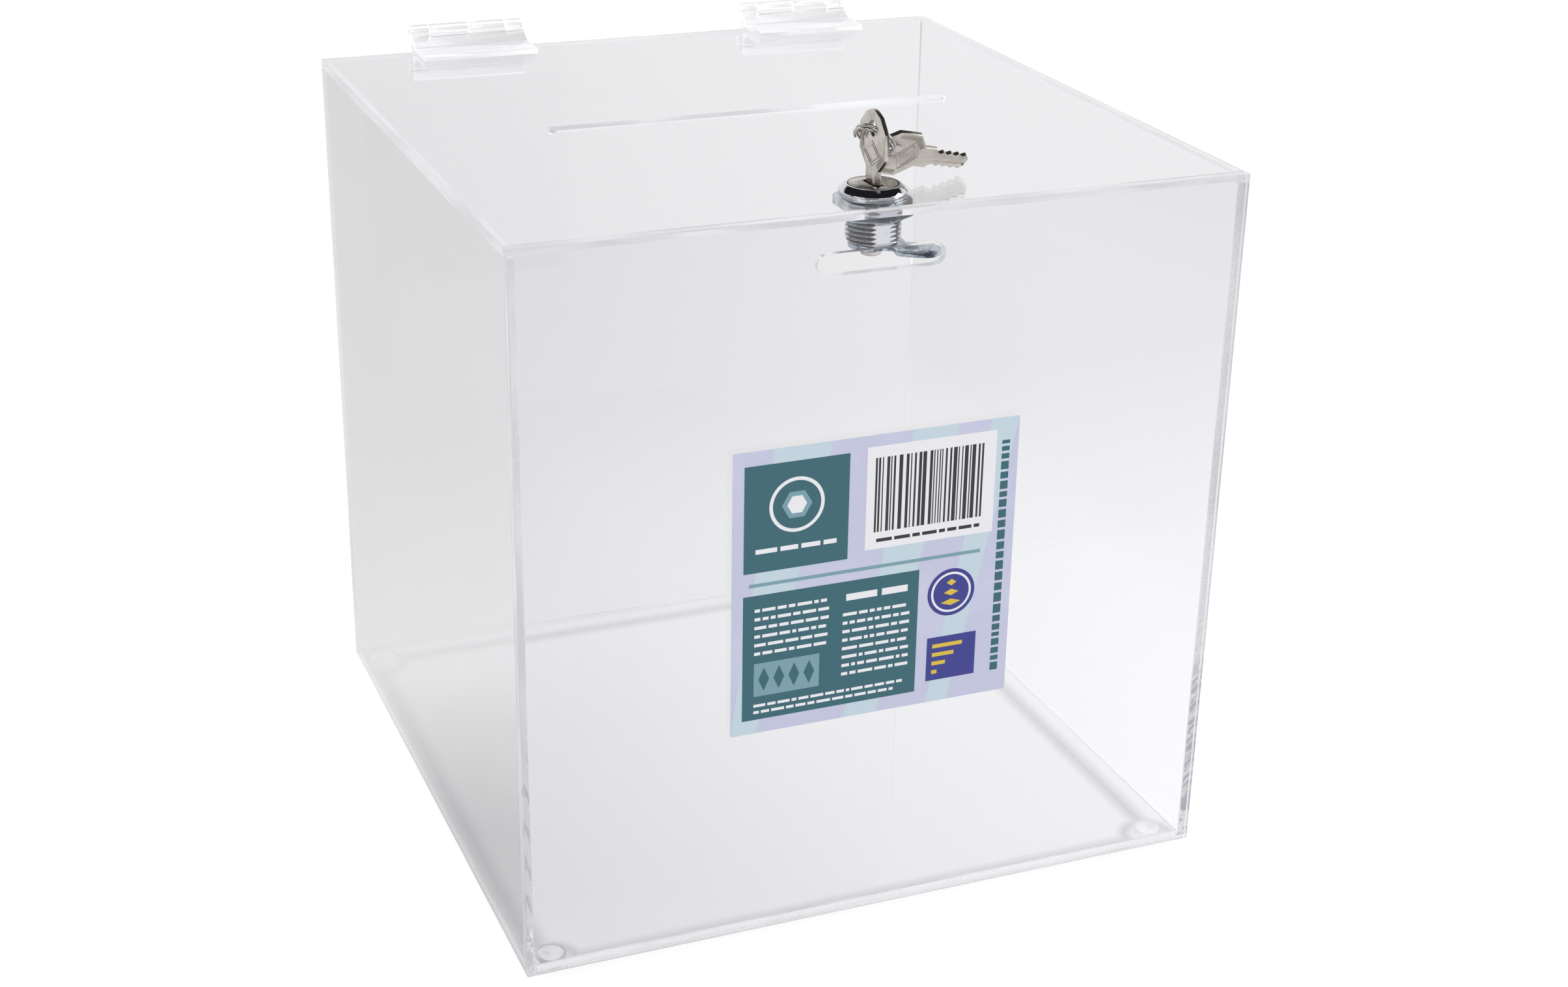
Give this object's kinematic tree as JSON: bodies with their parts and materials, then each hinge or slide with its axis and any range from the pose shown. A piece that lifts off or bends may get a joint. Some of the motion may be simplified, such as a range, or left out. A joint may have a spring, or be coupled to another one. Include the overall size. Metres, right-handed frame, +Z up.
{
  "type": "drop box",
  "caption": "Clear sheet drop box with a hinged lid, a paper slot, a cam lock whose tongue passes through the front panel, and its keys on a ring.",
  "frame": {"origin": "middle of the floor panel's upper face, on which papers lie", "axes": "+X to the right as seen from the front, +Y from the front panel to the back, +Z up"},
  "size_m": [0.25, 0.2594, 0.2795],
  "materials": {
    "clear_sheet": "clear cast sheet, polished faces, saw-cut edges that catch the light",
    "clear_moulding": "clear moulded plastic, glossy",
    "clear_rubber": "clear soft bumper, slightly hazy",
    "printed_label": "printed sticker, satin",
    "chrome_bezel": "polished chrome plate",
    "nickel_plug": "smooth nickel plate",
    "nickel_key": "stamped key blank, nickel plated, satin faces",
    "zinc_plate": "bright bluish zinc plate",
    "plain_steel": "plain bright steel",
    "brass_wafers": "plain stamped brass"
  },
  "bodies": {
    "box": {"front_panel": "clear_sheet", "back_panel": "clear_sheet", "left_panel": "clear_sheet", "right_panel": "clear_sheet", "base_panel": "clear_sheet", "foot_front_left": "clear_rubber", "foot_front_right": "clear_rubber", "foot_back_left": "clear_rubber", "foot_back_right": "clear_rubber", "label": "printed_label", "hinge_box_leaf_left": "clear_moulding", "hinge_box_leaf_right": "clear_moulding", "hinge_pin_left": "clear_moulding", "hinge_pin_right": "clear_moulding"},
    "lid": {"lid_panel": "clear_sheet", "hinge_lid_leaf_left": "clear_moulding", "hinge_lid_leaf_right": "clear_moulding", "lock_housing": "chrome_bezel", "lock_nut": "zinc_plate"},
    "plug": {"lock_plug": "nickel_plug", "lock_wafer_1": "brass_wafers", "lock_wafer_2": "brass_wafers", "lock_wafer_3": "brass_wafers", "lock_wafer_4": "brass_wafers", "lock_cam": "zinc_plate", "cam_washer": "plain_steel", "cam_screw": "plain_steel"},
    "key": {"key_in_lock": "nickel_key"},
    "ring": {"key_ring": "plain_steel"},
    "spare": {"key_spare": "nickel_key"}
  },
  "joints": [
    {"name": "lid_swing", "type": "hinge", "parent": "box", "child": "lid", "pos_m": [0, 0.1314, 0.2534], "axis": [-1, 0, 0], "range_deg": [0, 250]},
    {"name": "plug_turn", "type": "hinge", "parent": "lid", "child": "plug", "pos_m": [0, -0.104, 0.2497], "axis": [0, 0, 1], "range_deg": [-55, 35]},
    {"name": "key_slide", "type": "slide", "parent": "plug", "child": "key", "axis": [0, 0, 1], "range_m": [0, 0.02]},
    {"name": "ring_turn", "type": "hinge", "parent": "key", "child": "ring", "pos_m": [0.00231, -0.09946, 0.26246], "axis": [0.6547, 0.3598, 0.6647], "range_deg": [-45, 45]},
    {"name": "spare_swing", "type": "hinge", "parent": "key", "child": "spare", "pos_m": [0.00703, -0.09769, 0.25752], "axis": [-0.0185, -0.8224, -0.5686], "range_deg": [0, 30]}
  ]
}
